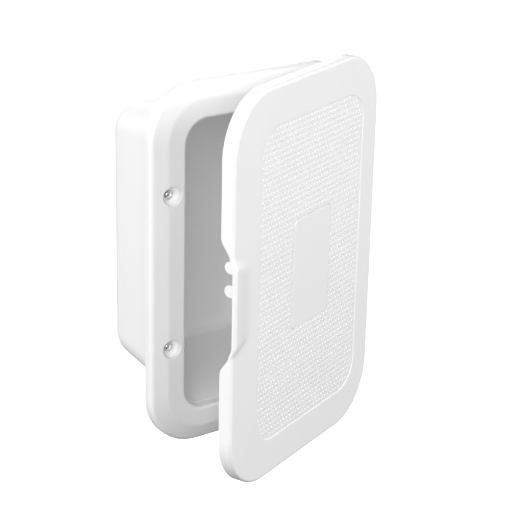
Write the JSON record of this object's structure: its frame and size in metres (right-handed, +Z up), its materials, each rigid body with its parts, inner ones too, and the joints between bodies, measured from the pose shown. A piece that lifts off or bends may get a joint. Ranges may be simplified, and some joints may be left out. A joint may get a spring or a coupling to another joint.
{
  "type": "recessed wall box",
  "caption": "Recessed wall box with a screwed bezel, a deep moulded tub and a side-hinged textured door with snap latch tongues.",
  "frame": {"origin": "centre of the box opening, in the plane of the wall that the bezel's back lies on", "axes": "+X along the wall towards the hinge side, +Y into the wall, +Z up; the door opens towards -Y"},
  "size_m": [0.1953, 0.2015, 0.3],
  "materials": {
    "bezel_plastic": "fine satin moulded white plastic",
    "tub_plastic": "satin moulded white plastic, slightly greyer",
    "door_plastic": "satin moulded white plastic with an embossed field",
    "label_plastic": "smooth white plastic",
    "rubber_seal": "matt grey rubber",
    "foam_seal": "matt black closed-cell foam",
    "bright_steel": "bright polished stainless steel",
    "pin_steel": "drawn stainless wire",
    "zinc_steel": "zinc plated steel"
  },
  "bodies": {
    "box": {"bezel": "bezel_plastic", "tub": "tub_plastic", "wall_seal": "foam_seal", "wall_screw_left_upper": "bright_steel", "wall_screw_left_lower": "bright_steel", "wall_screw_right_upper": "bright_steel", "wall_screw_right_lower": "bright_steel", "tub_screw_left_upper": "zinc_steel", "tub_screw_left_middle": "zinc_steel", "tub_screw_left_lower": "zinc_steel", "tub_screw_right_upper": "zinc_steel", "tub_screw_right_middle": "zinc_steel", "tub_screw_right_lower": "zinc_steel", "tub_screw_top": "zinc_steel", "tub_screw_bottom": "zinc_steel", "hinge_pin_upper": "pin_steel", "hinge_pin_lower": "pin_steel"},
    "door": {"door": "door_plastic", "label_plate": "label_plastic", "door_seal": "rubber_seal"},
    "tongue_upper": {"latch_tongue_upper": "door_plastic"},
    "tongue_lower": {"latch_tongue_lower": "door_plastic"}
  },
  "joints": [
    {"name": "door_hinge", "type": "hinge", "parent": "box", "child": "door", "pos_m": [0.096, -0.0121, 0.0015], "axis": [0, 0, 1], "range_deg": [-22, 98]},
    {"name": "tongue_upper_flex", "type": "hinge", "parent": "door", "child": "tongue_upper", "pos_m": [-0.04587, -0.0774, 0.01515], "axis": [0, 0, 1], "range_deg": [-4, 0], "stiffness_Nm_per_rad": 0.8},
    {"name": "tongue_lower_flex", "type": "hinge", "parent": "door", "child": "tongue_lower", "pos_m": [-0.04587, -0.0774, -0.00315], "axis": [0, 0, 1], "range_deg": [-4, 0], "stiffness_Nm_per_rad": 0.8}
  ]
}
